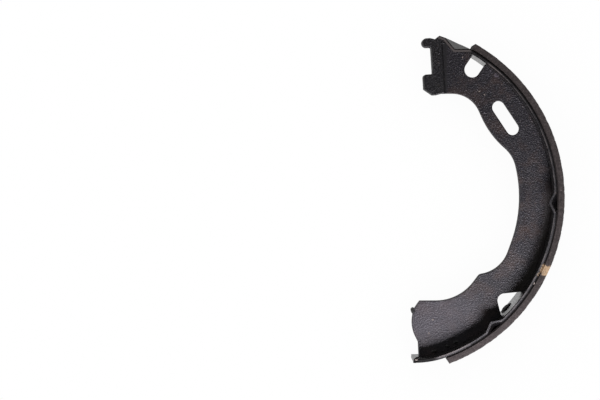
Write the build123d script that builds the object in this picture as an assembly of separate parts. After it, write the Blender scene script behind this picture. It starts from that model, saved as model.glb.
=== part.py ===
"""Parking-brake shoe: stamped web, rolled table with pressed nibs, bonded lining and a doubled forked end.

Millimetres. The origin is on the crown of the friction face, in the plane of the table's lower edge.
The forked end is at +Y and the anchor end at -Y, and +Z is parallel to the drum axis.
The pieces are drawn about the drum axis and moved to that origin last. Until then X and Y are measured
from the drum axis, angles in degrees from +X about it, and depths and drops inwards from the table.
"""

import os
from math import cos, degrees, radians, sin, tan

from build123d import *

# Friction lining
DRUM_R = 97.5
LINING_T = 4.0
LINING_W = 31.0
LINING_ANGLES = (-69.6, 60.2)
LINING_EDGE = 0.4

# Table: the rolled strip that carries the lining. Its toe is rolled tighter than the drum.
TABLE_T = 2.0
TABLE_W = 32.5
TABLE_ANGLES = (-81.0, 73.1)
TABLE_EDGE = 0.35
TOE_ROLL_ANGLE = -69.6
TOE_ROLL_R = 50.0
FORK_END_LEAD = 1.4

# Nibs: V dents pressed into both edges of the table, which slide on the backing plate.
# The pair at the fork is pressed wider and deeper, at a distance from the table's end.
NIB_ANGLES = (-50.4, -1.7)
NIB_DEPTH = 3.2
NIB_W = 12.6
FORK_NIB_SETBACK = 12.2
FORK_NIB_DEPTH = 4.0
FORK_NIB_W = 16.8
NIB_REACH = 6.0
NIB_TIP_R = 1.6

# Web: the stamped plate, its inner edge a chain of corners rounded into one another
WEB_T = 4.5
WEB_EDGE = 0.4
WEB_CORNER_R = 0.8
BACK_DEPTH = 17.7
BACK_ANGLES = (-20.0, 13.7)
BACK_RUNS = (16.4, 5.9)
BACK_BLEND_R = 18.6
SLOT_PAD_DEPTH = 24.6
SLOT_PAD_ANGLE = 31.1
SLOT_PAD_R = 49.4
ANCHOR_PAD_DEPTH = 24.5
ANCHOR_PAD_ANGLE = -39.7
ANCHOR_PAD_R = 2.6
HEEL_DROP = 34.0
HEEL_CORNER_X = 47.1
HEEL_CORNER_R = 16.3
TOE_DROP = 34.0
TOE_CORNER_X = 40.4
TOE_CORNER_R = 26.0

# Anchor end: a cut corner, a convex bearing edge and a straight edge down to the table
ANCHOR_X = 18.2
ANCHOR_CUT = 2.5
ANCHOR_CUT_DROP = 3.6
ANCHOR_NOSE = 6.1
ANCHOR_NOSE_DROP = 12.4
ANCHOR_NOSE_R = 19.0
ANCHOR_FOOT = 0.8
ANCHOR_FOOT_DROP = 23.0

# Forked end, on an axis that leans with the spreader it holds
FORK_X = 24.9
FORK_DROP = 15.8
FORK_LEAN = 3.6
FORK_GAP = 14.8
UPPER_PRONG_L = 4.8
UPPER_PRONG_T = 5.2
LOWER_PRONG_L = 5.3
LOWER_PRONG_T = 8.2
LOWER_PRONG_R = 1.8
LOWER_PRONG_CUT = 4.5
LOWER_PRONG_CUT_DROP = 3.5
FORK_FOOT = 2.7
FORK_FOOT_SAG = 0.8
FORK_FOOT_RUN = 3.0

# Plates that double the web at the forked end
PLATE_T = 3.0
PLATE_BACK = 6.7
PLATE_EDGE = 0.5
PLATE_ROLL = 1.2

# Hold-down slot, across the radius
SLOT_W = 7.2
SLOT_CENTRES = 14.1
SLOT_ANGLE = 33.6
SLOT_DEPTH = 12.1

# Spring windows, open against the table
ROUND_WINDOW_ANGLE = 56.1
ROUND_WINDOW_W = 8.7
ROUND_WINDOW_DEPTH = 10.5
CORNER_WINDOW_ANGLES = (-46.3, -34.5)
CORNER_WINDOW_END_R = 0.9
CORNER_WINDOW_DEPTH = 10.4
CORNER_WINDOW_TIP_ANGLE = -41.7
CORNER_WINDOW_TIP_R = 3.9

# Cutting shapes run this far past what they cut, and places closer than the second are the same place
PAST = 1.0
SAME = 0.001

# Sizes that follow from those above
table_out_r = DRUM_R - LINING_T
table_in_r = table_out_r - TABLE_T
back_r = table_in_r - BACK_DEPTH
past_table_r = table_in_r + PAST
beyond = DRUM_R + PAST
web_low = (TABLE_W - WEB_T) / 2
web_high = web_low + WEB_T
heel_y = table_in_r - HEEL_DROP
toe_y = TOE_DROP - table_in_r
fork_axis = Vector(FORK_X, table_in_r - FORK_DROP)
fork_nib_angle = TABLE_ANGLES[1] - degrees(FORK_NIB_SETBACK / table_out_r)


def polar(radius, angle):
    """Point at a radius and an angle about the drum axis."""
    return Vector(radius * cos(radians(angle)), radius * sin(radians(angle)))


def sector(inner_r, outer_r, start, end, centre=(0, 0), lead=0):
    """Face between two radii and two angles about a centre, with its inner arc longer by a lead."""
    outside = CenterArc(centre, outer_r, start, end - lead - start)
    inside = CenterArc(centre, inner_r, start, end - start)
    return make_face([outside, inside, Line(outside @ 0, inside @ 0), Line(outside @ 1, inside @ 1)])


def toe_sector(inner_r, outer_r):
    """Face between two radii over the toe, drawn in by its tighter roll."""
    roll_centre_r = table_out_r - TOE_ROLL_R
    turn = (TOE_ROLL_ANGLE - TABLE_ANGLES[0]) * table_out_r / TOE_ROLL_R
    start = TOE_ROLL_ANGLE - turn
    centre = polar(roll_centre_r, TOE_ROLL_ANGLE)
    return sector(inner_r - roll_centre_r, outer_r - roll_centre_r, start, TOE_ROLL_ANGLE, centre)


def rounded(corners):
    """Face inside (point, radius) corners. A radius shrinks where its side is too short for it."""
    points = [Vector(point) for point, _ in corners]
    radii = [radius for _, radius in corners]
    count = len(points)
    sides = []
    for i, point in enumerate(points):
        back = (points[i - 1] - point).normalized()
        on = (points[(i + 1) % count] - point).normalized()
        sides.append((back, on))
    halves = [radians(back.get_angle(on)) / 2 for back, on in sides]
    runs = [radius / tan(half) for radius, half in zip(radii, halves)]
    shares = [1.0] * count
    for i, run in enumerate(runs):
        j = (i + 1) % count
        side = (points[j] - points[i]).length
        share = side / max(run + runs[j], side)
        shares[i] = min(shares[i], share)
        shares[j] = min(shares[j], share)
    edges = []
    ends = []
    for i, (back, on) in enumerate(sides):
        run = runs[i] * shares[i]
        rise = radii[i] * shares[i] * (1 / sin(halves[i]) - 1)
        start = points[i] + back * run
        end = points[i] + on * run
        ends.append((start, end))
        if run > 0:
            edges.append(ThreePointArc(start, points[i] + (back + on).normalized() * rise, end))
    for i, (_, end) in enumerate(ends):
        start = ends[(i + 1) % count][0]
        if (start - end).length > SAME:
            edges.append(Line(end, start))
    return make_face(edges)


def fork_point(ahead, above):
    """Point of the forked end, ahead of the root of its gap and above its own axis."""
    return fork_axis + Vector(-ahead, above).rotate(Axis.Z, FORK_LEAN)


def fork_ahead(point):
    """How far ahead of the root of the fork's gap a point lies."""
    return -(Vector(point.X, point.Y) - fork_axis).rotate(Axis.Z, -FORK_LEAN).X


def back_corner(angle, run):
    """Point on the tangent to the back arc at an angle, a run past it. A negative run goes towards -Y."""
    return polar(back_r, angle) + polar(run, angle + 90)


def inside_table_face():
    """Everything inside the table: the drum circle's area, less what the toe's roll takes off it."""
    return Circle(table_in_r) - toe_sector(table_in_r, beyond)


def web_face():
    """Outline of the stamped plate, without its slot and windows."""
    gap = FORK_GAP / 2
    prong_top = gap + UPPER_PRONG_T
    prong_r = UPPER_PRONG_T / 2
    lower_end = gap + LOWER_PRONG_T
    cut_end = lower_end + LOWER_PRONG_CUT_DROP
    back_mid = sum(BACK_ANGLES) / 2
    back_half = (BACK_ANGLES[1] - BACK_ANGLES[0]) / 2
    corners = [
        (fork_point(-beyond, prong_top), 0),
        (fork_point(UPPER_PRONG_L, prong_top), prong_r),
        (fork_point(UPPER_PRONG_L, gap), prong_r),
        (fork_point(0, gap), WEB_CORNER_R),
        (fork_point(0, -gap), WEB_CORNER_R),
        (fork_point(LOWER_PRONG_L, -gap), LOWER_PRONG_R),
        (fork_point(LOWER_PRONG_L, -lower_end), WEB_CORNER_R),
        (fork_point(LOWER_PRONG_L - LOWER_PRONG_CUT, -cut_end), WEB_CORNER_R),
        (Vector(FORK_X + FORK_FOOT, heel_y - FORK_FOOT_SAG), WEB_CORNER_R),
        (Vector(FORK_X + FORK_FOOT + FORK_FOOT_RUN, heel_y), WEB_CORNER_R),
        (Vector(HEEL_CORNER_X, heel_y), HEEL_CORNER_R),
        (polar(table_in_r - SLOT_PAD_DEPTH, SLOT_PAD_ANGLE), SLOT_PAD_R),
        (back_corner(BACK_ANGLES[1], BACK_RUNS[1]), BACK_BLEND_R),
        (polar(back_r / cos(radians(back_half)), back_mid), back_r),
        (back_corner(BACK_ANGLES[0], -BACK_RUNS[0]), BACK_BLEND_R),
        (polar(table_in_r - ANCHOR_PAD_DEPTH, ANCHOR_PAD_ANGLE), ANCHOR_PAD_R),
        (Vector(TOE_CORNER_X, toe_y), TOE_CORNER_R),
        (Vector(ANCHOR_X, toe_y), WEB_CORNER_R),
        (Vector(ANCHOR_X - ANCHOR_CUT, toe_y - ANCHOR_CUT_DROP), WEB_CORNER_R),
        (Vector(ANCHOR_X - ANCHOR_NOSE, toe_y - ANCHOR_NOSE_DROP), ANCHOR_NOSE_R),
        (Vector(ANCHOR_X - ANCHOR_FOOT, toe_y - ANCHOR_FOOT_DROP), WEB_CORNER_R),
        (Vector(ANCHOR_X, -beyond), 0),
        (Vector(beyond, -beyond), 0),
    ]
    return rounded(corners) & inside_table_face()


def slot_face():
    """Hold-down slot."""
    place = Pos(polar(table_in_r - SLOT_DEPTH, SLOT_ANGLE)) * Rot(0, 0, SLOT_ANGLE + 90)
    return place * SlotCenterToCenter(SLOT_CENTRES, SLOT_W)


def round_window_face():
    """Window with a round end, whose open end runs past the table's inner face."""
    inner_centre = table_in_r - ROUND_WINDOW_DEPTH + ROUND_WINDOW_W / 2
    outer_centre = past_table_r + ROUND_WINDOW_W / 2
    middle = polar((inner_centre + outer_centre) / 2, ROUND_WINDOW_ANGLE)
    window = SlotCenterToCenter(outer_centre - inner_centre, ROUND_WINDOW_W)
    return Pos(middle) * Rot(0, 0, ROUND_WINDOW_ANGLE) * window


def corner_window_face():
    """Three-cornered window, whose long side lies along the table."""
    low, high = CORNER_WINDOW_ANGLES
    return rounded([
        (polar(table_in_r - CORNER_WINDOW_DEPTH, CORNER_WINDOW_TIP_ANGLE), CORNER_WINDOW_TIP_R),
        (polar(past_table_r, low), CORNER_WINDOW_END_R),
        (polar(past_table_r, high), CORNER_WINDOW_END_R),
    ])


def is_against_table(edge):
    """Whether an edge of a plate lies on the table's inner face."""
    middle = edge @ 0.5
    on_drum_stretch = abs(Vector(middle.X, middle.Y).length - table_in_r) < SAME
    roll_centre = polar(table_out_r - TOE_ROLL_R, TOE_ROLL_ANGLE)
    from_roll_centre = (Vector(middle.X, middle.Y) - roll_centre).length
    return on_drum_stretch or abs(from_roll_centre - TOE_ROLL_R + TABLE_T) < SAME


def rim_edges(plate, height):
    """Edges of a plate in the plane at a height, without those against the table."""
    edges = plate.faces().filter_by(Axis.Z).sort_by(lambda face: abs(face.center().Z - height))[0].edges()
    return edges.filter_by(lambda edge: not is_against_table(edge))


def make_web(outline):
    """Stamped plate with broken edges."""
    face = outline - slot_face() - round_window_face() - corner_window_face()
    plate = Pos(0, 0, web_low) * extrude(face, WEB_T)
    for height in (web_low, web_high):
        plate = chamfer(rim_edges(plate, height), WEB_EDGE)
    return plate


def is_plate_back(edge):
    """Whether an edge lies along the plate's back, across the fork's axis."""
    return all(abs(fork_ahead(edge @ end) + PLATE_BACK) < SAME for end in (0, 1))


def make_plate(outline, low, outer):
    """Plate against the web's forked end, from a low height, with a rolled back and a broken outer rim."""
    area = Rectangle(beyond, 2 * beyond, align=(Align.MAX, Align.CENTER))
    area = Pos(fork_axis) * Rot(0, 0, FORK_LEAN) * Pos(PLATE_BACK, 0) * area
    plate = Pos(0, 0, low) * extrude(outline & area, PLATE_T)
    plate = chamfer(rim_edges(plate, outer).filter_by(is_plate_back), PLATE_ROLL)
    return chamfer(rim_edges(plate, outer), PLATE_EDGE)


def nib_wedge(angle, width, depth, base_r):
    """V wedge on the lower edge, pointing inwards from a radius and dying out at the nib's reach."""
    spread = 1 + TABLE_T / 2 / depth
    base = polar(base_r + TABLE_T / 2, angle)
    side = polar(width / 2 * spread, angle + 90)
    mouth = rounded([(polar(base_r - depth, angle), NIB_TIP_R), (base + side, 0), (base - side, 0)])
    return loft([mouth, Vertex(*(polar(base_r, angle) + Vector(0, 0, NIB_REACH)))])


def table_face():
    """Plan of the rolled strip, with a slanted end at the fork."""
    lead = degrees(FORK_END_LEAD / table_out_r)
    drum_stretch = sector(table_in_r, table_out_r, TOE_ROLL_ANGLE, TABLE_ANGLES[1], lead=lead)
    return drum_stretch + toe_sector(table_in_r, table_out_r)


def make_table():
    """Rolled strip with nibs pressed into both edges, and with its rims broken."""
    strip = extrude(table_face(), TABLE_W)
    middle = Plane.XY.offset(TABLE_W / 2)
    nibs = [(angle, NIB_W, NIB_DEPTH) for angle in NIB_ANGLES]
    nibs.append((fork_nib_angle, FORK_NIB_W, FORK_NIB_DEPTH))
    for nib in nibs:
        bump = nib_wedge(*nib, table_in_r)
        dent = nib_wedge(*nib, table_out_r)
        strip = strip + bump + mirror(bump, middle) - dent - mirror(dent, middle)
    return chamfer(strip.faces().filter_by(Axis.Z).edges(), TABLE_EDGE)


def make_lining():
    """Bonded segment, a little narrower than the table, with broken edges."""
    segment = extrude(sector(table_out_r, DRUM_R, *LINING_ANGLES), LINING_W)
    segment = Pos(0, 0, (TABLE_W - LINING_W) / 2) * segment
    return chamfer(segment.edges(), LINING_EDGE)


outline = web_face()
nodes = {
    "web": make_web(outline),
    "table": make_table(),
    "lining": make_lining(),
    "fork_plate_upper": make_plate(outline, web_high, web_high + PLATE_T),
    "fork_plate_lower": make_plate(outline, web_low - PLATE_T, web_low - PLATE_T),
}
to_crown = Pos(-DRUM_R, 0, 0)
os.makedirs("parts", exist_ok=True)
for name, solid in nodes.items():
    export_step(to_crown * solid, f"parts/{name}.step")
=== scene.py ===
# %% [markdown]
# # A parking-brake shoe
# A drum brake presses a curved shoe against the inside of a drum. This shoe is a stamped steel web
# inside a rolled steel table, with a friction lining bonded to the table's outside and two plates
# that thicken the web's forked end. The CAD frame gives every solid at its real size. Here each one
# gets its surface: the pressed and sheared edges, the paint that was dipped over the welded steel,
# and the moulded lining.

# %% Load the frame
from math import radians

import bmesh
import bpy
from mathutils import Euler, Matrix, Vector, noise


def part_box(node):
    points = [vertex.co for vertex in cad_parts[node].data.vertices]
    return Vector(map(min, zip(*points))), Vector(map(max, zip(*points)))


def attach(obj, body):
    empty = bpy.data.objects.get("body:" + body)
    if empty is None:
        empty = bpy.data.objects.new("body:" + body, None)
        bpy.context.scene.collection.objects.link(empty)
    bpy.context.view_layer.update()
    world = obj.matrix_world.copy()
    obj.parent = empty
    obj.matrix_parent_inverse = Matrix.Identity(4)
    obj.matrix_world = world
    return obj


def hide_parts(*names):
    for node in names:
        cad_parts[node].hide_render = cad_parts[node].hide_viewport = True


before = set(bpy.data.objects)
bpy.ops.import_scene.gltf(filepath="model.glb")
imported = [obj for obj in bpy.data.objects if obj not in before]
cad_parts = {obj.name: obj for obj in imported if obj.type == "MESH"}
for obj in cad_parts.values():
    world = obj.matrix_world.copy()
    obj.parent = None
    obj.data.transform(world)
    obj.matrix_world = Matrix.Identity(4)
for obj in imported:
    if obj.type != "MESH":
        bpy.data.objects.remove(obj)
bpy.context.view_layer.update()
BODY = "root"
MM = 0.001
print("nodes:", sorted(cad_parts))

# %% [markdown]
# ## Where things are
# The friction face is a part of a circle about the drum's axis, and the origin is on its crown.
# Places on the shoe are easier to read from that axis, so they are given from there in millimetres,
# and one helper turns them into points. In the materials a radius and an angle in degrees, about the
# same axis, say where a finish begins.

# %% The drum's axis
DRUM_R = 97.5
TABLE_OUT_R = 93.5
LINING_ANGLES = (-69.6, 60.2)
WEB_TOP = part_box("web")[1].z / MM
TABLE_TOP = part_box("table")[1].z / MM
LINING_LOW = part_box("lining")[0].z / MM
LINING_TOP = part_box("lining")[1].z / MM
PLATE_BACK_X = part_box("fork_plate_upper")[1].x / MM
FORK_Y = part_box("fork_plate_upper")[0].y / MM
AXIS_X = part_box("lining")[1].x / MM - DRUM_R


def from_axis(x, y, height):
    """Point in metres from millimetres along X and Y, measured from the drum's axis."""
    return Vector((AXIS_X + x, y, height)) * MM


print("drum axis at x =", round(AXIS_X, 2), "mm, web top at", round(WEB_TOP, 2), "mm")

# %% [markdown]
# ## Small tools for node trees
# Colours are written as sRGB hex values, as a paint chart gives them, and one function turns them to
# the linear values that the renderer works in. Another adds any node with its settings and its links
# in one call and gives back its outputs. It builds the Geometry Nodes trees too.

# %% Colour and node helpers
MIX = "ShaderNodeMix"  # inputs 2 and 3 and output 0 are numbers; 6, 7 and 2 are colours
NOISE = "ShaderNodeTexNoise"
RANGE = "ShaderNodeMapRange"
BUMP = "ShaderNodeBump"


def linear(hex_colour):
    """Linear RGBA from an sRGB hex value such as 'a0a0a0'."""
    channels = [int(hex_colour[i:i + 2], 16) / 255 for i in (0, 2, 4)]
    values = [c / 12.92 if c <= 0.04045 else ((c + 0.055) / 1.055) ** 2.4 for c in channels]
    return (*values, 1.0)


def feed(tree, socket, value):
    """Link a socket, or set its value. A string is a hex colour."""
    if isinstance(value, bpy.types.NodeSocket):
        tree.links.new(value, socket)
    else:
        socket.default_value = linear(value) if isinstance(value, str) else value


def add(tree, kind, *inputs, **settings):
    """Add a node and return its outputs. A kind in capitals is an operation of a Math node.

    Inputs are values or sockets, in the node's own order or in a dict by name or number.
    """
    if kind.isupper():
        kind, settings["operation"] = "ShaderNodeMath", kind
    node = tree.nodes.new(kind)
    for name, value in settings.items():
        setattr(node, name, value)
    by_key = inputs[0] if inputs and isinstance(inputs[0], dict) else dict(enumerate(inputs))
    for key, value in by_key.items():
        feed(tree, node.inputs[key], value)
    return node.outputs


print("paint tone 404040 is", round(linear("404040")[0], 3), "in linear light")

# %% [markdown]
# ## Masks and coats
# A finish is laid on in coats, as paint and dirt are. A mask is a number from 0 to 1 that says where
# a coat lies, and the functions here join masks and lay coats over a ground. A range is (from, to,
# value at from, value at to), and it carries a noise, a radius or an angle over to a mask.


# %% Masks and coats
def where_all(tree, *masks):
    """Mask that holds where every one of the masks does."""
    held = masks[0]
    for mask in masks[1:]:
        held = add(tree, "MULTIPLY", held, mask)[0]
    return held


def where_any(tree, *masks):
    """Mask that holds where at least one of the masks does."""
    held = masks[0]
    for mask in masks[1:]:
        held = add(tree, "MAXIMUM", held, mask)[0]
    return held


def between(tree, value, low, high, soft):
    """Mask that is 1 between two values and fades over a soft margin."""
    rise = add(tree, RANGE, value, low - soft, low + soft)[0]
    fall = add(tree, RANGE, value, high - soft, high + soft, 1.0, 0.0)[0]
    return where_all(tree, rise, fall)


def layered(tree, ground, *coats):
    """Colour with coats laid over it. A coat is a mask and a colour."""
    for mask, colour in coats:
        ground = add(tree, MIX, {0: mask, 6: ground, 7: colour}, data_type="RGBA")[2]
    return ground


def through_stops(tree, level, stops):
    """Colour that runs through (level, hex colour) stops."""
    coats = []
    for (low, _), (high, colour) in zip(stops, stops[1:]):
        coats.append((add(tree, RANGE, level, low, high)[0], colour))
    return layered(tree, stops[0][1], *coats)


# %% Materials and places on them
def new_material(name):
    """Material with an empty tree, and the surface coordinates in metres."""
    material = bpy.data.materials.new(name)
    material.use_nodes = True
    tree = material.node_tree
    tree.nodes.clear()
    place = add(tree, "ShaderNodeTexCoord")["Object"]
    return material, tree, place


def finish_material(tree, shader_inputs):
    """Principled shader on the output."""
    surface = add(tree, "ShaderNodeBsdfPrincipled", shader_inputs)["BSDF"]
    add(tree, "ShaderNodeOutputMaterial", {"Surface": surface})


def per_mm(size_mm):
    """Scale of a noise whose blotches measure about size_mm."""
    return 1 / (size_mm * MM)


def drum_place(tree, place):
    """Radius in millimetres, angle in degrees and height in millimetres of a surface point."""
    parts = add(tree, "ShaderNodeSeparateXYZ", place)
    x = add(tree, "SUBTRACT", parts["X"], AXIS_X * MM)[0]
    turn = add(tree, "ARCTAN2", parts["Y"], x)[0]
    across = add(tree, "POWER", x, 2.0)[0]
    along = add(tree, "POWER", parts["Y"], 2.0)[0]
    radius = add(tree, "SQRT", add(tree, "ADD", across, along)[0])[0]
    return (add(tree, "DIVIDE", radius, MM)[0], add(tree, "DEGREES", turn)[0],
            add(tree, "DIVIDE", parts["Z"], MM)[0])


print("blotches of 1 mm need a noise scale of", round(per_mm(1.0)))

# %% [markdown]
# ## The paint
# The welded shoe is dipped in black electrophoretic paint (e-coat) and baked. The coat is thin, even
# and satin, and the shot-blasted steel below it shows as a fine grain. The grain's tone is painted
# darker in its hollows and lighter on its crests, as painted shade and highlight of its relief.
# Handling leaves pale specks and a brownish dust. All this could be painted by hand on an unwrapped
# copy of each piece, but noises in the piece's own coordinates need no unwrapping and keep their real
# sizes. One function makes these layers, because every painted piece has them.

# %% Black e-coat over blasted steel
GRAIN_MM = 0.88  # blasting grain, drawn coarser than the real 0.1 mm so that it shows
GRAIN_DEPTH = 0.24
GRAIN_CRESTS = (0.40, 0.62)  # levels of the noise that are a hollow and a crest
GRAIN_SHEEN = (0.38, 0.62, 0.09, -0.09)  # a crest is smoother than a hollow
GRAIN_BY_ANGLE = (-35.0, 45.0, 0.72, 1.22)  # the blasting is coarser towards the fork
GRAIN_AT_TOE = (-42.0, -58.0, 0.0, 0.17)
WAVE_MM = 16.0  # the stamped sheet isn't quite flat
WAVE_DEPTH = 0.20
DUST_MM = 11.0
DUST_PATCHES = (0.46, 0.70, 0.0, 0.8)
SPECK_MM = 1.0
SPECKS = (0.69, 0.80, 0.0, 0.6)
SPECK_TONE = "75655b"
TOE_ANGLES = (-44.0, -62.0)  # where the anchor end begins and is reached
TOE_HAZE = 0.04  # the coat is hazier there
PAINT_IOR = 1.68


def coat_layers(tree, place, shaded_hollow_tone, lit_crest_tone, dust_tone, roughness):
    """Colour, roughness and normal of satin black dip paint over blasted steel, its grain painted
    darker in the hollows and lighter on the crests.
    """
    grain = add(tree, NOISE, {"Vector": place, "Scale": per_mm(GRAIN_MM), "Roughness": 0.7})["Fac"]
    dust = add(tree, NOISE, {"Vector": place, "Scale": per_mm(DUST_MM), "Detail": 4.0,
                             "Roughness": 0.6})["Fac"]
    speck = add(tree, NOISE, {"Vector": place, "Scale": per_mm(SPECK_MM), "Detail": 1.0})["Fac"]
    wave = add(tree, NOISE, {"Vector": place, "Scale": per_mm(WAVE_MM), "Detail": 1.0})["Fac"]
    # Painted shade and highlight: the grain's hollows are painted darker and its crests lighter.
    colour = layered(tree, shaded_hollow_tone,
                     (add(tree, RANGE, grain, *GRAIN_CRESTS)[0], lit_crest_tone),
                     (add(tree, RANGE, dust, *DUST_PATCHES)[0], dust_tone),
                     (add(tree, RANGE, speck, *SPECKS)[0], SPECK_TONE))

    _, angle, _ = drum_place(tree, place)
    sheen = add(tree, RANGE, angle, *TOE_ANGLES, roughness, roughness + TOE_HAZE)[0]
    rough = add(tree, "ADD", sheen, add(tree, RANGE, grain, *GRAIN_SHEEN)[0])[0]

    coarse = add(tree, "ADD", add(tree, RANGE, angle, *GRAIN_BY_ANGLE)[0],
                 add(tree, RANGE, angle, *GRAIN_AT_TOE)[0])[0]
    relief = add(tree, "MULTIPLY", grain, coarse)[0]
    rolled = add(tree, BUMP, {"Height": wave, "Distance": WAVE_DEPTH * MM})[0]
    blasted = add(tree, BUMP, {"Height": relief, "Distance": GRAIN_DEPTH * MM, "Normal": rolled})[0]
    return colour, rough, blasted


# %% [markdown]
# A stamped plate has two kinds of surface: the smooth faces of the rolled sheet, and the cut edge,
# which the punch shears and tears. Each could have a material of its own, but the cut stands
# upright, so its normal tells it apart wherever the outline runs.

# %% The fork plates' paint
CUT_FACING = (0.6, 0.3)  # upward part of the normal, from the sheet's face to its cut edge
CUT_ROUGHNESS = 0.8
PLATE_FINISH = {"shaded_hollow_tone": "030303", "lit_crest_tone": "1c1b1e", "dust_tone": "171513",
                "roughness": 0.37}


def sheared(tree):
    """Mask of the cut edges, which stand upright and are rougher than the sheet's faces."""
    facing = add(tree, "ShaderNodeNewGeometry")["True Normal"]
    upward = add(tree, "ABSOLUTE", add(tree, "ShaderNodeSeparateXYZ", facing)["Z"])[0]
    return add(tree, RANGE, upward, *CUT_FACING)[0]


def plate_coat(name):
    """E-coat of the fork plates: satin on the faces, dull on the cut edges."""
    material, tree, place = new_material(name)
    colour, rough, normal = coat_layers(tree, place, **PLATE_FINISH)
    edge_rough = add(tree, MIX, {0: sheared(tree), 2: rough, 3: CUT_ROUGHNESS})[0]
    finish_material(tree, {"Base Color": colour, "Roughness": edge_rough, "Normal": normal,
                           "IOR": PAINT_IOR})
    return material


plate_paint = plate_coat("plate_e_coat")
print("painted:", plate_paint.name)

# %% [markdown]
# The web is the widest face, so handling shows most there: dust where it meets the table, a faint
# mark where it slid on the press bed, and small marks. Light and shade are painted on it as well: the
# dusty band by the table is painted paler where the table's shadow falls, the anchor end is painted
# paler where the lamp lights it most, and a dark, dull painted shade lies behind the fork plate's
# step. Small rubs and marks are a list of places, and one ragged mask draws them all, because a noise
# alone could not put them where hands and hooks touch. The black one is painted shade in the gap
# behind the fork plate.

# %% Handling marks and painted light and shade on the web
WEB_FINISH = {"shaded_hollow_tone": "040404", "lit_crest_tone": "2a272e", "dust_tone": "42322a",
              "roughness": 0.38}
# Dust and painted fill light: the web is painted paler by the table's wall, where the table's shadow
# falls.
FOOT_DUST_AND_FILL_R = (87.3, 88.5)
FOOT_DUST_AND_FILL_ANGLES = (-36.0, 0.0)
FOOT_DUST_AND_FILL_FADE = 5.0
FOOT_DUST_AND_FILL_TONE = "3a3634"
SLIDE_X = (75.4, 77.8)
SLIDE_Y = (-28.0, 14.0)
SLIDE_FADE = (0.8, 5.0)  # across and along the mark
SLIDE_SHEEN = -0.035  # sliding polished it a little
# Painted light: the web is painted paler towards the anchor end, where the lamp lights it most.
TOE_LIGHT_SHARE = 0.45
TOE_LIGHT_TONE = "4b474e"
# Painted shade: a dark, dull band on the web behind the fork plate, where the plate's step shades it.
STEP_SHADE_MM = 0.9  # width of the painted shade behind the plate
STEP_SHADE_CORE = 0.7  # part of that width where it is full
STEP_SHADE_FADE = 1.0
STEP_SHADE_TONE = "060505"
MARK_EDGE_MM = 1.2
MARK_RAGGED = (0.3, 0.7, -0.5, 0.5)
MARK_FADE = (1.2, 0.6)  # parts of the reach where a mark begins and is full
WEB_MARKS = [  # place from the drum's axis, reach, colour and strength
    (60.6, 67.6, 1.1, "7d7680", 0.45),
    (61.8, 67.2, 0.8, "7d7680", 0.35),
    (57.6, 70.1, 0.7, "6e6770", 0.35),
    (38.7, -80.5, 1.2, "8c848c", 0.5),
    (26.0, -86.0, 1.3, "5f5048", 0.45),
    # Painted shade: the black mark darkens the gap between the fork plate's back corner and the nib.
    (31.3, 86.0, 1.3, "020202", 0.9),
]


def small_mark(tree, place, x, y, reach_mm):
    """Ragged mask of a small area of the web about a point."""
    gap = add(tree, "ShaderNodeVectorMath", place, from_axis(x, y, WEB_TOP),
              operation="DISTANCE")["Value"]
    fray = add(tree, NOISE, {"Vector": place, "Scale": per_mm(MARK_EDGE_MM), "Detail": 3.0})["Fac"]
    ragged = add(tree, RANGE, fray, *MARK_RAGGED)[0]
    reach = add(tree, "ADD", add(tree, "DIVIDE", gap, MM)[0], ragged)[0]
    return add(tree, RANGE, reach, *[part * reach_mm for part in MARK_FADE])[0]


print("small marks on the web:", len(WEB_MARKS))


# %% The web's paint
def web_coat(name):
    """E-coat of the web: satin, dusty and painted paler by the table, hazy and painted paler at the
    anchor end, with painted shade behind the fork plate.
    """
    material, tree, place = new_material(name)
    colour, rough, normal = coat_layers(tree, place, **WEB_FINISH)
    parts = add(tree, "ShaderNodeSeparateXYZ", place)
    radius, angle, _ = drum_place(tree, place)

    foot_dust_and_fill = where_all(tree, between(tree, angle, *FOOT_DUST_AND_FILL_ANGLES, FOOT_DUST_AND_FILL_FADE),
                     add(tree, RANGE, radius, *FOOT_DUST_AND_FILL_R)[0])
    toe_light = add(tree, RANGE, angle, *TOE_ANGLES, 0.0, TOE_LIGHT_SHARE)[0]
    behind = add(tree, "SUBTRACT", parts["X"], PLATE_BACK_X * MM)[0]
    step_shade = where_all(tree, add(tree, RANGE, behind, STEP_SHADE_MM * MM, STEP_SHADE_CORE * STEP_SHADE_MM * MM)[0],
                       add(tree, RANGE, parts["Y"], FORK_Y * MM, (FORK_Y + STEP_SHADE_FADE) * MM)[0])
    coats = [(foot_dust_and_fill, FOOT_DUST_AND_FILL_TONE), (toe_light, TOE_LIGHT_TONE), (step_shade, STEP_SHADE_TONE)]
    for x, y, reach_mm, tone, strength in WEB_MARKS:
        mark = small_mark(tree, place, x, y, reach_mm)
        coats.append((where_all(tree, mark, strength), tone))
    colour = layered(tree, colour, *coats)

    slide_x = [(AXIS_X + x) * MM for x in SLIDE_X]
    slide_y = [y * MM for y in SLIDE_Y]
    slid = where_all(tree, between(tree, parts["X"], *slide_x, SLIDE_FADE[0] * MM),
                     between(tree, parts["Y"], *slide_y, SLIDE_FADE[1] * MM))
    rough = add(tree, "MULTIPLY_ADD", slid, SLIDE_SHEEN, rough)[0]
    dull = where_any(tree, sheared(tree), step_shade)
    edge_rough = add(tree, MIX, {0: dull, 2: rough, 3: CUT_ROUGHNESS})[0]
    finish_material(tree, {"Base Color": colour, "Roughness": edge_rough, "Normal": normal,
                           "IOR": PAINT_IOR})
    return material


web_paint = web_coat("web_e_coat")
print("painted:", web_paint.name)

# %% [markdown]
# ## The inspector's mark
# An inspector's dab of cream paint crosses the rim and the lining near the middle of the shoe. It
# could be a thin piece laid on top, but a film of paint has no thickness to see. It is a mask with a
# ragged, patchy outline that the table and the lining share, so the dab runs on from one to the
# other.

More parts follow.
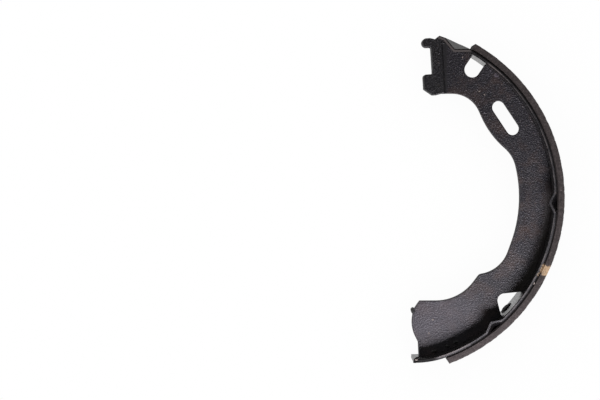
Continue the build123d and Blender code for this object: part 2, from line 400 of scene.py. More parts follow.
# %% The dab of cream paint
DAB_ANGLES = (-26.6, -23.0)
DAB_FADE = 0.25
DAB_FROM_R = (92.6, 93.4)
DAB_DEPTH = (2.2, 1.6)  # millimetres below the lining's upper side where it begins and is full
DAB_FRAY_MM = 2.2
DAB_FRAY = (0.3, 0.7, -0.9, 0.9)
DAB_PATCH_MM = 0.9
DAB_PATCHES = (0.3, 0.5, 0.35, 1.0)
DAB_TONE = "b39a78"


def inspectors_dab(tree, place):
    """Ragged mask of the dab."""
    radius, angle, height = drum_place(tree, place)
    fray = add(tree, NOISE, {"Vector": place, "Scale": per_mm(DAB_FRAY_MM), "Detail": 3.0})["Fac"]
    patch = add(tree, NOISE, {"Vector": place, "Scale": per_mm(DAB_PATCH_MM), "Detail": 3.0})["Fac"]
    ragged = add(tree, RANGE, fray, *DAB_FRAY)[0]
    along = between(tree, add(tree, "ADD", angle, ragged)[0], *DAB_ANGLES, DAB_FADE)
    across = add(tree, RANGE, add(tree, "ADD", radius, ragged)[0], *DAB_FROM_R)[0]
    upward = add(tree, RANGE, add(tree, "ADD", height, ragged)[0],
                 *[LINING_TOP - depth for depth in DAB_DEPTH])[0]
    return where_all(tree, along, across, upward, add(tree, RANGE, patch, *DAB_PATCHES)[0])


print("dab from", *DAB_ANGLES, "degrees")

# %% [markdown]
# ## The table's paint
# The table is a sheared strip, and its two long edges are the roughest metal on the shoe. The paint
# is thin there and rubs off in short runs along the middle of the rim. The rim is also painted
# lighter, as a painted highlight, where it catches the lamp at the toe and at a nib. Beside the
# lining the rim is black with squeezed-out adhesive and with the painted shade of the gap there, and
# at the toe and its tip it is painted darker and duller. All of this follows the rim, so its masks
# read the height, the radius and the angle of each point.

# %% Where the rim is worn, painted lighter and painted darker
TABLE_FINISH = {"shaded_hollow_tone": "070708", "lit_crest_tone": "1e1d1f", "dust_tone": "1c1716",
                "roughness": 0.32}
RIM_DEPTH = (0.35, 0.15)  # millimetres in from the rim where its finish begins and is full
RIM_ROUGHNESS = 0.42
RIM_GRAIN_MM = 0.55
RIM_GRAIN_DEPTH = 0.10
WALL_GRAIN = 0.25  # share of the rim's grain that shows on the walls
LINE_R = (91.75, 92.42)  # the middle of the rim, where the paint rubs through first
LINE_FADE = 0.12
RUB_MM = 5.0
RUB_RUNS = (0.42, 0.58, 0.0, 0.55)
# Painted highlights: the toe's range and the nib's range of the rim are painted lighter, where it
# catches the lamp.
TOE_GLINT = (-72.5, -60.5)
TOE_GLINT_FADE = 1.0
RUBBED_FORK = (47.0, 53.0)
NIB_GLINT = (60.5, 73.5)
RUBBED_FADE = 0.5
NIB_SHARE = 0.7
# Colour of worn paint and of the painted highlights on the rim.
WEAR_AND_GLINT_TONE = "69635f"
# Adhesive and painted shade: the rim's outer edge beside the lining is painted black for both.
GLUE_AND_SHADE_R = (92.6, 92.9)
# The rim is painted darker and duller at the toe, and at the tip also down the wall.
TOE_DARK_ANGLES = (-72.0, -74.0)
TIP_DARK_ANGLES = (-76.0, -77.5)
TIP_DARK_DEPTH = (4.0, 2.0)  # it reaches this far down the wall
DARK_RIM_TONE = "0b0908"
DARK_RIM_ROUGHNESS = (-30.0, -5.0, 0.95, 0.28)  # rough at the anchor end, smoother towards the fork

print("rubbed line:", round(LINE_R[1] - LINE_R[0], 2), "mm wide")


# %% E-coat with a worn rim
def table_coat(name):
    """E-coat whose rim rubs through in runs and is painted lighter as a highlight at the toe and a
    nib, black with adhesive and painted shade beside the lining, and painted darker and duller at the
    toe.
    """
    material, tree, place = new_material(name)
    colour, rough, _ = coat_layers(tree, place, **TABLE_FINISH)
    radius, angle, height = drum_place(tree, place)
    top_rim = add(tree, RANGE, height, *[TABLE_TOP - depth for depth in RIM_DEPTH])[0]
    rim = where_any(tree, top_rim, add(tree, RANGE, height, *RIM_DEPTH)[0])

    rub = add(tree, NOISE, {"Vector": place, "Scale": per_mm(RUB_MM), "Detail": 3.0})["Fac"]
    handled_and_glint = where_any(tree, add(tree, RANGE, rub, *RUB_RUNS)[0],
                        between(tree, angle, *TOE_GLINT, TOE_GLINT_FADE),
                        between(tree, angle, *RUBBED_FORK, RUBBED_FADE))
    on_line = where_all(tree, between(tree, radius, *LINE_R, LINE_FADE), handled_and_glint)
    nib_glint = where_all(tree, between(tree, angle, *NIB_GLINT, RUBBED_FADE), NIB_SHARE)
    wear_and_glint = where_all(tree, rim, where_any(tree, nib_glint, on_line))

    beside_lining = between(tree, angle, TOE_GLINT[1], LINING_ANGLES[1], RUBBED_FADE)
    glue_and_shade = where_all(tree, rim, add(tree, RANGE, radius, *GLUE_AND_SHADE_R)[0], beside_lining)
    toe_dark = where_all(tree, rim, add(tree, RANGE, angle, *TOE_DARK_ANGLES)[0])
    near_rim = add(tree, RANGE, height, *[TABLE_TOP - depth for depth in TIP_DARK_DEPTH])[0]
    tip_dark = where_all(tree, near_rim, add(tree, RANGE, angle, *TIP_DARK_ANGLES)[0])
    dark_rim = where_any(tree, glue_and_shade, toe_dark, tip_dark)
    colour = layered(tree, colour, (wear_and_glint, WEAR_AND_GLINT_TONE), (dark_rim, DARK_RIM_TONE),
                     (inspectors_dab(tree, place), DAB_TONE))

    clean_rough = add(tree, MIX, {0: rim, 2: rough, 3: RIM_ROUGHNESS})[0]
    dark_rim_rough = add(tree, RANGE, angle, *DARK_RIM_ROUGHNESS)[0]
    edge_rough = add(tree, MIX, {0: dark_rim, 2: clean_rough, 3: dark_rim_rough})[0]
    grit = add(tree, NOISE, {"Vector": place, "Scale": per_mm(RIM_GRAIN_MM)})["Fac"]
    relief = add(tree, "MULTIPLY", grit, add(tree, "ADD", rim, WALL_GRAIN)[0])[0]
    normal = add(tree, BUMP, {"Height": relief, "Distance": RIM_GRAIN_DEPTH * MM})[0]
    finish_material(tree, {"Base Color": colour, "Roughness": edge_rough, "Normal": normal,
                           "IOR": PAINT_IOR})
    return material


# %% [markdown]
# Where the strip's edge rolls over, the paint is thin and full of dust, so it hardly shines, and it
# is painted darker too: painted shade that draws a dark line on each side of the rim. A mask could
# draw that line, but a material of its own stays on the rolled-over faces whatever their size.

# %% Dull paint and painted shade on the rolled-over edges
EDGE_SHADE_FINISH = {"shaded_hollow_tone": "030303", "lit_crest_tone": "100f10", "dust_tone": "0e0c0b",
               "roughness": 0.62}
EDGE_IOR = 1.45
DULL_GLOSS = 0.12  # specular level of dusty paint, where 0.5 is a clean surface


def edge_shade_coat(name):
    """Dull, thin paint on the rolled-over edges of the table, painted darker as their shade."""
    material, tree, place = new_material(name)
    colour, rough, normal = coat_layers(tree, place, **EDGE_SHADE_FINISH)
    marked = layered(tree, colour, (inspectors_dab(tree, place), DAB_TONE))
    finish_material(tree, {"Base Color": marked, "Roughness": rough, "Normal": normal,
                           "IOR": EDGE_IOR, "Specular IOR Level": DULL_GLOSS})
    return material


table_paint = table_coat("table_e_coat")
table_edge_shade_paint = edge_shade_coat("table_edge_painted_shade")
print("painted:", table_paint.name, "and", table_edge_shade_paint.name)

# %% [markdown]
# ## Plates with softened edges
# A stamped edge is never sharp: the sheared corner rolls over and the paint rounds it further. A
# copy of each CAD mesh is merged and its flat faces are joined, so that a small bevel can run along
# every real edge. Subdividing the copy would soften the flat faces as well. On the table the bevels
# and the chamfers along the rim take the dull edge paint with its painted shade, which is the last
# of its materials.

# %% Copies of the solids with rolled-over edges
WEB_EDGE_MM = 0.32
TABLE_EDGE_MM = 0.38
PLATE_EDGE_MM = 0.2
MERGE_MM = 0.002
FLAT_ANGLE = radians(0.5)
EDGE_ANGLE = radians(25)
EDGE_SEGMENTS = 2
CHAMFER_SLANT = (0.3, 0.95)  # upward part of the normal of a chamfer along the rim
CHAMFER_BAND_MM = 0.4  # such a chamfer lies this near the table's upper or lower plane


def is_rim_chamfer(face):
    """Whether a face is a chamfer along one of the two long edges of the table."""
    to_plane = min(face.center.z, TABLE_TOP * MM - face.center.z)
    slant = abs(face.normal.z)
    return to_plane < CHAMFER_BAND_MM * MM and CHAMFER_SLANT[0] < slant < CHAMFER_SLANT[1]


def softened_copy(node, name, materials, edge_mm):
    """Merged copy of a CAD node with a fine bevel on its edges, in the last of its materials."""
    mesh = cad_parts[node].data.copy()
    shape = bmesh.new()
    shape.from_mesh(mesh)
    bmesh.ops.remove_doubles(shape, verts=shape.verts, dist=MERGE_MM * MM)
    bmesh.ops.dissolve_limit(shape, angle_limit=FLAT_ANGLE, verts=shape.verts, edges=shape.edges)
    shape.to_mesh(mesh)
    shape.free()
    mesh.materials.clear()
    for material in materials:
        mesh.materials.append(material)
    last = len(materials) - 1
    for face in mesh.polygons:
        face.use_smooth = True
        if is_rim_chamfer(face):
            face.material_index = last
    piece = bpy.data.objects.new(name, mesh)
    bpy.context.scene.collection.objects.link(piece)
    bevel = piece.modifiers.new("edges", "BEVEL")
    bevel.width = edge_mm * MM
    bevel.segments = EDGE_SEGMENTS
    bevel.limit_method = "ANGLE"
    bevel.angle_limit = EDGE_ANGLE
    bevel.material = last
    piece.modifiers.new("flat faces", "WEIGHTED_NORMAL").mode = "FACE_AREA"
    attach(piece, BODY)
    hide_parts(node)
    print(name, len(mesh.polygons), "faces before the bevel")


softened_copy("web", "painted_web", [web_paint], WEB_EDGE_MM)
softened_copy("table", "rolled_table", [table_paint, table_edge_shade_paint], TABLE_EDGE_MM)
for side in ("upper", "lower"):
    softened_copy(f"fork_plate_{side}", f"{side}_fork_plate", [plate_paint], PLATE_EDGE_MM)

# %% [markdown]
# ## The friction lining
# Brake lining is fibres, metal grains and graphite, moulded in a phenolic resin and cured, then
# ground to the drum's radius. It is dead matt and dark warm grey, mottled at the millimetre scale,
# with pores, and with fine scratches that run round the drum. A plain noise has no direction, so the
# scratches are a noise stretched along the drum's turn.

# %% What the lining is mottled with
MOTTLE_MM = 1.4
MOTTLE_TONES = ((0.3, "272220"), (0.5, "3c3633"), (0.68, "504946"))
LINING_TOE_LIGHT = (-30.0, -42.0, 0.0, 0.17)  # painted light: paler towards the anchor end, nearest the lamp
LINING_TOE_LIGHT_TONE = "6b6463"
PORE_MM = 0.45
PORES = (0.3, 0.42, 0.8, 0.0)
PORE_TONE = "110e0c"
FLECKS = (0.68, 0.76, 0.0, 0.8)
FLECK_TONE = "7a736f"
SCRATCH_MM = 0.35
SCRATCH_RUN_MM = 30.0  # length of a scratch along the drum's turn
SCRATCHES = (0.55, 0.7, 0.0, 0.5)
SCRATCH_TONE = "6a625e"
SCRATCH_SHARE = 0.6  # depth of a scratch, as a part of the mottle's
GROUND_DEPTH = (0.3, 0.1)  # millimetres below the friction face where grinding begins and is full
LINING_RELIEF = 0.12
LINING_ROUGHNESS = 0.85

print("scratches:", SCRATCH_RUN_MM, "by", SCRATCH_MM, "mm")


# %% Moulded friction material
def friction_material(name):
    """Matt moulded lining: mottled, porous, with scratches on its ground face."""
    material, tree, place = new_material(name)
    radius, angle, height = drum_place(tree, place)
    mottle = add(tree, NOISE, {"Vector": place, "Scale": per_mm(MOTTLE_MM), "Detail": 5.0,
                               "Roughness": 0.7})["Fac"]
    pores = add(tree, NOISE, {"Vector": place, "Scale": per_mm(PORE_MM)})["Fac"]
    along = add(tree, "MULTIPLY", angle, radians(DRUM_R) / SCRATCH_RUN_MM)[0]
    across = add(tree, "DIVIDE", height, SCRATCH_MM)[0]
    strokes = add(tree, "ShaderNodeCombineXYZ", along, across)[0]
    scratches = add(tree, NOISE, {"Vector": strokes, "Scale": 1.0})["Fac"]
    ground = add(tree, RANGE, radius, *[DRUM_R - depth for depth in GROUND_DEPTH])[0]
    scored = where_all(tree, add(tree, RANGE, scratches, *SCRATCHES)[0], ground)
    colour = layered(tree, through_stops(tree, mottle, MOTTLE_TONES),
                     (add(tree, RANGE, angle, *LINING_TOE_LIGHT)[0], LINING_TOE_LIGHT_TONE),
                     (add(tree, RANGE, pores, *PORES)[0], PORE_TONE),
                     (add(tree, RANGE, pores, *FLECKS)[0], FLECK_TONE),
                     (scored, SCRATCH_TONE),
                     (inspectors_dab(tree, place), DAB_TONE))

    scores = where_all(tree, scratches, ground, SCRATCH_SHARE)
    relief = add(tree, "SUBTRACT", add(tree, "ADD", mottle, pores)[0], scores)[0]
    normal = add(tree, BUMP, {"Height": relief, "Distance": LINING_RELIEF * MM})[0]
    finish_material(tree, {"Base Color": colour, "Roughness": LINING_ROUGHNESS, "Normal": normal})
    return material


lining_material = friction_material("moulded_lining")
print("lining:", lining_material.name)

# %% [markdown]
# ## Growing pieces by a rule
# A Geometry Nodes tree makes a piece from a few named sizes. The modifier's inputs are set by the
# sockets' identifiers before it first runs. The result is then kept as a plain mesh, because an
# export would drop the instances along with the modifier.


# %% Tools for Geometry Nodes
def grower(name, sizes):
    """Geometry Nodes tree with one named input for each size, and those inputs."""
    tree = bpy.data.node_groups.new(name, "GeometryNodeTree")
    for label, value in sizes.items():
        socket = tree.interface.new_socket(label, in_out="INPUT", socket_type="NodeSocketFloat")
        socket.default_value = value
    tree.interface.new_socket("Geometry", in_out="OUTPUT", socket_type="NodeSocketGeometry")
    return tree, add(tree, "NodeGroupInput")


def close_tree(tree, geometry, material):
    """Realize Instances and Set Material, then the output."""
    solid = add(tree, "GeometryNodeRealizeInstances", {"Geometry": geometry})[0]
    dressed = add(tree, "GeometryNodeSetMaterial", {"Geometry": solid, "Material": material})[0]
    add(tree, "NodeGroupOutput", {"Geometry": dressed})


def grow(tree, name, sizes):
    """Run a tree on an empty mesh and keep the result as a plain mesh piece."""
    piece = bpy.data.objects.new(name, bpy.data.meshes.new(name))
    bpy.context.scene.collection.objects.link(piece)
    modifier = piece.modifiers.new(name, "NODES")
    modifier.node_group = tree
    for item in tree.interface.items_tree:
        if item.in_out == "INPUT":
            modifier[item.identifier] = sizes[item.name]
    ready = piece.evaluated_get(bpy.context.evaluated_depsgraph_get())
    mesh = bpy.data.meshes.new_from_object(ready)
    piece.modifiers.clear()
    piece.data = mesh
    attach(piece, BODY)
    print(name, len(mesh.polygons), "faces")
    return piece


# %% [markdown]
# ## The lining's block
# The lining's shape follows one rule: a flat strip bent round the drum. The CAD solid has the right
# size but too few points to crumble. The nodes bend a gridded block instead, and move its points a
# little on the way: the long edges crumble in short chips, the ends are torn, and the inner edges
# are set back where the adhesive squeezed out and was brushed off.

# %% The lining's sizes
LINING_SIZES = {
    "Inner radius": TABLE_OUT_R * MM,
    "Thickness": (DRUM_R - TABLE_OUT_R) * MM,
    "First angle": radians(LINING_ANGLES[0]),
    "Last angle": radians(LINING_ANGLES[1]),
    "Low side": LINING_LOW * MM,
    "Width": (LINING_TOP - LINING_LOW) * MM,
    "Chip size": 2.2 * MM,
    "Chip depth": 0.4 * MM,
    "Glue gap": 1.1 * MM,
}
BLOCK_GRID = {"Vertices X": 7, "Vertices Y": 381, "Vertices Z": 45}
UNIT_HALF = 0.5  # the unit block reaches this far from its middle, and the bands lie within it
SIDE_BAND = 0.455
END_BAND = 0.496
FACE_BAND = 0.3
GLUE_BAND = (-0.4, -0.45)
CHIPPED = (0.50, 0.72)  # levels of the noise from a sound edge to a full chip
SIDE_CHIPS = 0.8  # how far a chip eats into the side, as a part of its depth
CRUMBS_PER_CHIP = 3.1
CRUMB_DEPTH = 0.16
CRUMB_LEVEL = 0.75  # level of the noise that leaves the friction face where it is
TORN_ANGLE = 0.004  # radians


# %% The tree that bends it
def both_ends(tree, coordinate, start):
    """Number that rises to 1 at the block's upper end and falls to -1 at its lower, and a mask."""
    upper = add(tree, RANGE, coordinate, start, UNIT_HALF)[0]
    lower = add(tree, RANGE, coordinate, -start, -UNIT_HALF)[0]
    return add(tree, "SUBTRACT", upper, lower)[0], where_any(tree, upper, lower)


def lining_tree():
    """A unit block bent about the drum's axis, with chipped edges."""
    tree, given = grower("bent_lining", LINING_SIZES)
    block = add(tree, "GeometryNodeMeshCube", {"Size": (1.0, 1.0, 1.0), **BLOCK_GRID})[0]
    unit = add(tree, "ShaderNodeSeparateXYZ", add(tree, "GeometryNodeInputPosition")[0])
    depth, turn, rise = [add(tree, "ADD", unit[axis], UNIT_HALF)[0] for axis in ("X", "Y", "Z")]
    sweep = add(tree, "SUBTRACT", given["Last angle"], given["First angle"])[0]
    angle = add(tree, "MULTIPLY_ADD", turn, sweep, given["First angle"])[0]
    radius = add(tree, "MULTIPLY_ADD", depth, given["Thickness"], given["Inner radius"])[0]
    height = add(tree, "MULTIPLY_ADD", rise, given["Width"], given["Low side"])[0]

    run = add(tree, "MULTIPLY", angle, given["Inner radius"])[0]
    strip = add(tree, "ShaderNodeCombineXYZ", radius, run, height)[0]
    per_chip = add(tree, "DIVIDE", 1.0, given["Chip size"])[0]
    scaled = add(tree, "ShaderNodeVectorMath", strip, per_chip, operation="MULTIPLY")[0]
    crumble = add(tree, NOISE, {"Vector": scaled, "Scale": 1.0, "Detail": 3.0})[0]
    chips = add(tree, RANGE, crumble, *CHIPPED)[0]
    fine = add(tree, NOISE, {"Vector": scaled, "Scale": CRUMBS_PER_CHIP})[0]

    side, at_side = both_ends(tree, unit["Z"], SIDE_BAND)
    face = add(tree, RANGE, unit["X"], FACE_BAND, UNIT_HALF)[0]
    edge = where_all(tree, face, at_side)
    loss = where_all(tree, chips, edge, given["Chip depth"])
    above = add(tree, "SUBTRACT", fine, CRUMB_LEVEL)[0]
    crumbs = add(tree, "MULTIPLY", above, add(tree, "MULTIPLY", face, CRUMB_DEPTH * MM)[0])[0]
    new_radius = add(tree, "ADD", add(tree, "SUBTRACT", radius, loss)[0], crumbs)[0]

    inner = add(tree, RANGE, unit["X"], *GLUE_BAND)[0]
    gap = where_all(tree, inner, side, given["Glue gap"])
    side_loss = where_all(tree, side, loss, SIDE_CHIPS)
    new_height = add(tree, "SUBTRACT", add(tree, "SUBTRACT", height, gap)[0], side_loss)[0]

    end, _ = both_ends(tree, unit["Y"], END_BAND)
    torn = where_all(tree, chips, end, TORN_ANGLE)
    new_angle = add(tree, "SUBTRACT", angle, torn)[0]
    cosine = add(tree, "COSINE", new_angle)[0]
    x = add(tree, "MULTIPLY_ADD", new_radius, cosine, AXIS_X * MM)[0]
    y = add(tree, "MULTIPLY", new_radius, add(tree, "SINE", new_angle)[0])[0]
    bent = add(tree, "ShaderNodeCombineXYZ", x, y, new_height)[0]
    moved = add(tree, "GeometryNodeSetPosition", {"Geometry": block, "Position": bent})[0]
    close_tree(tree, moved, lining_material)
    return tree


lining = grow(lining_tree(), "bonded_lining", LINING_SIZES)
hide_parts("lining")

# %% [markdown]
# ## Metal grains
# The lining is loaded with steel and brass chips. Grinding leaves their cut faces bright and flush.
# Painted dots would not catch the light, so Geometry Nodes scatter points over the lining and lay
# one thin flake on each, turned to the surface.

# %% Cut steel and brass
TINT_MM = 4.0
METAL_TONES = ((0.35, "b9b2aa"), (0.55, "9c948c"), (0.7, "b08d5c"))
TARNISH_MM = 0.6
TARNISH = (0.3, 0.7, 0.35, 0.6)


def metal_material(name):
    """Cut steel and a little brass: bright, slightly tarnished."""
    material, tree, place = new_material(name)
    tint = add(tree, NOISE, {"Vector": place, "Scale": per_mm(TINT_MM)})["Fac"]
    tarnish = add(tree, NOISE, {"Vector": place, "Scale": per_mm(TARNISH_MM)})["Fac"]
    finish_material(tree, {"Base Color": through_stops(tree, tint, METAL_TONES), "Metallic": 1.0,
                           "Roughness": add(tree, RANGE, tarnish, *TARNISH)[0]})
    return material


grain_metal = metal_material("cut_metal")
print("grains of", grain_metal.name)

# %% Bright flakes in the lining
FLAKE_SIZES = {
    "Grains per square metre": 62000.0,
    "Smallest": 0.10 * MM,
    "Largest": 0.24 * MM,
    "Flatness": 0.3,
}
FLAKE_SEED = 23
SIDE_SHARE = 0.12  # the moulded sides aren't ground, so few grains show there
GLUED_MM = 0.6  # no grain shows this near the table
GROUND_MM = 0.25  # the ground face begins this far below the friction face


def flake_tree(carrier, material):
    """Thin flakes laid on the carrier's outer faces."""
    tree, given = grower("metal_grains", FLAKE_SIZES)
    surface = add(tree, "GeometryNodeObjectInfo", {"Object": carrier})["Geometry"]
    spot = add(tree, "ShaderNodeSeparateXYZ", add(tree, "GeometryNodeInputPosition")[0])
    x = add(tree, "SUBTRACT", spot["X"], AXIS_X * MM)[0]
    y_squared = add(tree, "MULTIPLY", spot["Y"], spot["Y"])[0]
    radius = add(tree, "SQRT", add(tree, "MULTIPLY_ADD", x, x, y_squared)[0])[0]
    bare = add(tree, "GREATER_THAN", radius, (TABLE_OUT_R + GLUED_MM) * MM)[0]
    ground = add(tree, "GREATER_THAN", radius, (DRUM_R - GROUND_MM) * MM)[0]
    share = add(tree, "MULTIPLY_ADD", ground, 1.0 - SIDE_SHARE, SIDE_SHARE)[0]
    density = add(tree, "MULTIPLY", share, given["Grains per square metre"])[0]
    points = add(tree, "GeometryNodeDistributePointsOnFaces", {
        "Mesh": surface, "Selection": bare, "Density": density, "Seed": FLAKE_SEED})
    flake = add(tree, "GeometryNodeMeshIcoSphere", {"Radius": 1.0, "Subdivisions": 1})[0]
    # The random number's limits are inputs 2 and 3, and it is output 1.
    size = add(tree, "FunctionNodeRandomValue", {2: given["Smallest"], 3: given["Largest"],
                                                 "Seed": FLAKE_SEED}, data_type="FLOAT")[1]
    thin = add(tree, "MULTIPLY", size, given["Flatness"])[0]
    shape = add(tree, "ShaderNodeCombineXYZ", size, size, thin)[0]
    laid = add(tree, "GeometryNodeInstanceOnPoints", {
        "Points": points["Points"], "Instance": flake, "Rotation": points["Rotation"],
        "Scale": shape})[0]
    close_tree(tree, laid, material)
    return tree


grow(flake_tree(lining, grain_metal), "metal_grains", FLAKE_SIZES)

# %% [markdown]
# ## Lumps, crusts and chips
# The dip tank leaves marks of its own: a black blob where paint dried round a weld spatter on the
# anchor end, grit under the paint and crusts on the toe's tip. A black lump also sits on the table's
# inner wall below the web. In other places the coat has flaked off down to the metal. Each mark is a
# small sphere pulled to its length, pushed about by noise and sunk into what carries it. A bump in
# the paint would cost less, but a lump needs a real outline.

# %% Where the marks are
LUMPS = {
    "anchor_blob": {"at": (15.7, -64.3, 16.2), "half": (3.0, 1.45, 2.2), "turn": -62.0},
    # A black lump on the table's inner wall, below the web.
    "wall_run": {"at": (66.9, -62.1, 11.8), "half": (3.6, 1.15, 5.4), "turn": 47.3},
    "toe_grit_a": {"at": (38.4, -80.6, 18.5), "half": (1.5, 0.9, 0.5), "turn": 25.0},
    "toe_grit_b": {"at": (26.6, -85.6, 18.5), "half": (1.7, 0.8, 0.45), "turn": 12.0},
    "toe_grit_c": {"at": (33.6, -82.6, 18.5), "half": (1.1, 0.7, 0.4), "turn": -20.0},
    "tip_scab_a": {"at": (16.2, -88.1, 31.8), "half": (1.6, 0.55, 1.0), "turn": 25.0},
    "tip_scab_b": {"at": (15.8, -90.2, 31.8), "half": (1.6, 0.6, 1.0), "turn": 8.0},
    "fork_grit": {"at": (31.2, 85.6, 20.0), "half": (1.3, 0.9, 1.6), "turn": 10.0},
}
CRUSTS = ("wall_run", "tip_scab_a", "tip_scab_b")
CHIPS = {
    "web_chip_a": {"at": (51.5, 58.7, 18.5), "half": (0.55, 0.40, 0.10), "turn": 30.0},
    "web_chip_b": {"at": (54.3, 56.9, 18.5), "half": (0.50, 0.35, 0.10), "turn": -20.0},
    "web_chip_c": {"at": (42.1, 77.7, 18.5), "half": (0.45, 0.30, 0.10), "turn": 75.0},
    "web_chip_d": {"at": (25.6, -68.1, 18.5), "half": (0.50, 0.35, 0.10), "turn": 15.0},
    "web_chip_e": {"at": (23.4, -75.5, 18.5), "half": (0.45, 0.30, 0.10), "turn": -50.0},
    "toe_tip_chip": {"at": (15.7, -89.1, 32.45), "half": (0.90, 0.45, 0.16), "turn": 12.0},
    "rim_chip": {"at": (80.6, -47.1, 32.45), "half": (0.60, 0.40, 0.12), "turn": 62.0},
}

# %% What they are made of
CRUST_CLOUD_MM = 0.6
CRUST_TONES = ((0.35, "060505"), (0.7, "1a1715"))
CRUST_CRUMB_MM = 0.5
CRUST_RELIEF = 0.1
CRUST_ROUGHNESS = 0.7
CHIP_CLOUD_MM = 0.5
CHIP_TONES = ((0.35, "6d625a"), (0.6, "a39a90"))
CHIP_ROUGHNESS = 0.6


def dried_paint(name):
    """Matt black crust of paint that dried too thick."""
    material, tree, place = new_material(name)
    cloud = add(tree, NOISE, {"Vector": place, "Scale": per_mm(CRUST_CLOUD_MM),
                              "Detail": 3.0})["Fac"]
    crumbs = add(tree, NOISE, {"Vector": place, "Scale": per_mm(CRUST_CRUMB_MM)})["Fac"]
    normal = add(tree, BUMP, {"Height": crumbs, "Distance": CRUST_RELIEF * MM})[0]
    finish_material(tree, {"Base Color": through_stops(tree, cloud, CRUST_TONES),
                           "Roughness": CRUST_ROUGHNESS, "Normal": normal,
                           "Specular IOR Level": DULL_GLOSS})
    return material


def chipped_metal(name):
    """Dusty bare steel and primer where the coat has flaked off: pale and matt."""
    material, tree, place = new_material(name)
    cloud = add(tree, NOISE, {"Vector": place, "Scale": per_mm(CHIP_CLOUD_MM),
                              "Detail": 3.0})["Fac"]
    finish_material(tree, {"Base Color": through_stops(tree, cloud, CHIP_TONES),
                           "Roughness": CHIP_ROUGHNESS})
    return material


lump_paint = plate_coat("lump_e_coat")
crust = dried_paint("dried_paint")
chip_metal = chipped_metal("chipped_metal")
print("marks of", lump_paint.name, crust.name, "and", chip_metal.name)

# %% Spheres pushed about by noise
LUMP_DETAIL = 4
COARSE_SWELL = 0.30
COARSE_STEP = 1.4
FINE_SWELL = 0.10
FINE_STEP = 5.0
SWELL_SHIFT = 900  # steps of the noise in a metre, so that no two marks swell alike


def lump(name, at, half, turn, material):
    """Sphere stretched to half sizes in millimetres, roughened by noise."""
    shape = bmesh.new()
    bmesh.ops.create_icosphere(shape, subdivisions=LUMP_DETAIL, radius=1.0)
    centre = from_axis(*at)
    stretch = Matrix.Diagonal((*[h * MM for h in half], 1.0))
    place = Matrix.Translation(centre) @ Matrix.Rotation(radians(turn), 4, "Z") @ stretch
    for point in shape.verts:
        coarse = COARSE_SWELL * noise.noise(point.co * COARSE_STEP + centre * SWELL_SHIFT)
        fine = FINE_SWELL * noise.noise(point.co * FINE_STEP)
        point.co = place @ (point.co * (1.0 + coarse + fine))
    mesh = bpy.data.meshes.new(name)
    shape.to_mesh(mesh)
    shape.free()
    for face in mesh.polygons:
        face.use_smooth = True
    mesh.materials.append(material)
    piece = bpy.data.objects.new(name, mesh)
    bpy.context.scene.collection.objects.link(piece)
    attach(piece, BODY)


for lump_name, sizes in LUMPS.items():
    lump(lump_name, **sizes, material=crust if lump_name in CRUSTS else lump_paint)
for chip_name, sizes in CHIPS.items():
    lump(chip_name, **sizes, material=chip_metal)
print("lumps:", sorted(LUMPS), "chips:", len(CHIPS))

# %% [markdown]
# ## Floor
# The shoe lies on a white sheet. Painted black steel shows mostly what it mirrors, so the white of
# the sheet matters as much as the lamp. A plain white floor would turn grey away from the lamp. This
# one glows evenly for the camera and for gloss, and is paper for all other light. Under and beside
# the shoe the sheet lies in its shelter, and the gloss of the low edges shows that.

# %% The white sheet
SHEET_SIZE = 4.0
SHEET_GAP = 0.02 * MM
SHELTER_REACH = 70 * MM
SHELTER_SAMPLES = 8
FAINT_SHADOW = 0.05
GLOSS_SHADOW = 0.12
PAPER_TONE = "f4f4f4"
WHITE = "ffffff"


def sheet_material(name):
    """White to the camera and to gloss, darker where the shoe shelters it."""
    material, tree, _ = new_material(name)
    path = add(tree, "ShaderNodeLightPath")
    mirrored = where_any(tree, path["Is Glossy Ray"], path["Is Transmission Ray"])
    seen = where_any(tree, path["Is Camera Ray"], mirrored)
    open_sky = add(tree, "ShaderNodeAmbientOcclusion", {"Distance": SHELTER_REACH},
                   samples=SHELTER_SAMPLES)["AO"]
    in_gloss = add(tree, RANGE, open_sky, 0.0, 1.0, 1.0 - GLOSS_SHADOW, 1.0)[0]
    in_view = add(tree, RANGE, open_sky, 0.0, 1.0, 1.0 - FAINT_SHADOW, 1.0)[0]
    level = add(tree, MIX, {0: mirrored, 2: in_view, 3: in_gloss})[0]
    paper = add(tree, "ShaderNodeBsdfDiffuse", {"Color": PAPER_TONE})[0]
    glow = add(tree, "ShaderNodeEmission", {"Color": WHITE, "Strength": level})[0]
    both = add(tree, "ShaderNodeMixShader", seen, paper, glow)[0]
    add(tree, "ShaderNodeOutputMaterial", {"Surface": both})
    return material


half = SHEET_SIZE / 2
corners = [(x, y, -SHEET_GAP) for x, y in ((-half, -half), (half, -half), (half, half), (-half, half))]
sheet_mesh = bpy.data.meshes.new("sheet")
sheet_mesh.from_pydata(corners, [], [(0, 1, 2, 3)])
sheet_mesh.materials.append(sheet_material("white_sheet"))
sheet = bpy.data.objects.new("sheet", sheet_mesh)
bpy.context.scene.collection.objects.link(sheet)
print("sheet:", SHEET_SIZE, "m square")

# %% [markdown]
# ## Light
# The room is white near the horizon and dim overhead, so that flat faces stay black and steep ones
# mirror white. An even white room would wash the black paint out. One soft lamp stands low on the
# anchor side, brightens that end and throws the table's soft shadow onto the web.

# %% The room
HORIZON_LEVEL = 1.0
CEILING_LEVEL = 0.04
SKYWARD = (0.15, 0.6)  # upward part of the direction, from the horizon's light to the ceiling's

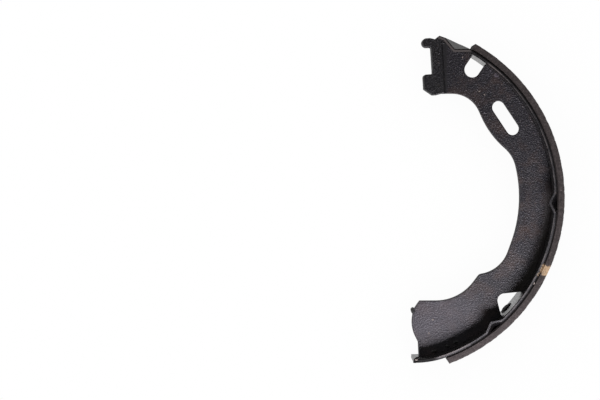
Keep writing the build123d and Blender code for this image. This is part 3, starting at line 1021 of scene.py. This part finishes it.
world = bpy.data.worlds.new("room")
world.use_nodes = True
bpy.context.scene.world = world
room = world.node_tree
room.nodes.clear()
direction = add(room, "ShaderNodeTexCoord")["Generated"]
upward = add(room, "ShaderNodeSeparateXYZ", direction)["Z"]
sky_level = add(room, RANGE, upward, *SKYWARD, HORIZON_LEVEL, CEILING_LEVEL)[0]
sky = add(room, "ShaderNodeBackground", {"Color": WHITE, "Strength": sky_level})[0]
add(room, "ShaderNodeOutputWorld", {"Surface": sky})
print("room:", HORIZON_LEVEL, "at the horizon,", CEILING_LEVEL, "overhead")

# %% The lamp
LAMP_PLACE = (141, -265, 336)
LAMP_TARGET = (60, -40, 16)
LAMP_SIZE_MM = 176
LAMP_WATTS = 2.0
LAMP_TONE = "faf5ff"

lamp_data = bpy.data.lights.new("key", "AREA")
lamp_data.size = LAMP_SIZE_MM * MM
lamp_data.energy = LAMP_WATTS
lamp_data.color = linear(LAMP_TONE)[:3]
lamp = bpy.data.objects.new("key", lamp_data)
lamp.location = from_axis(*LAMP_PLACE)
to_target = from_axis(*LAMP_TARGET) - lamp.location
lamp.rotation_euler = to_target.to_track_quat("-Z", "Y").to_euler()
bpy.context.scene.collection.objects.link(lamp)
print("lamp:", LAMP_WATTS, "W,", round(to_target.length, 2), "m away")

# %% [markdown]
# ## Camera
# It looks almost straight down through a long lens. A shorter lens from nearer would show more of
# the table's wall and bend the outline.

# %% The camera
CAMERA_PLACE = (-48.21, 31.50, 1364.4)
CAMERA_TURN = (-1.397, -0.007, -0.096)
LENS_MM = 145.5
SENSOR_MM = 36.0
FAR_CLIP = 10.0

camera_data = bpy.data.cameras.new("camera")
camera_data.lens = LENS_MM
camera_data.sensor_width = SENSOR_MM
camera_data.clip_end = FAR_CLIP
camera = bpy.data.objects.new("camera", camera_data)
camera.location = from_axis(*CAMERA_PLACE)
camera.rotation_euler = Euler([radians(a) for a in CAMERA_TURN])
bpy.context.scene.collection.objects.link(camera)
bpy.context.scene.camera = camera
bpy.context.scene.view_settings.view_transform = "Standard"
print("camera:", LENS_MM, "mm lens,", CAMERA_PLACE[2], "mm up")

# %% [markdown]
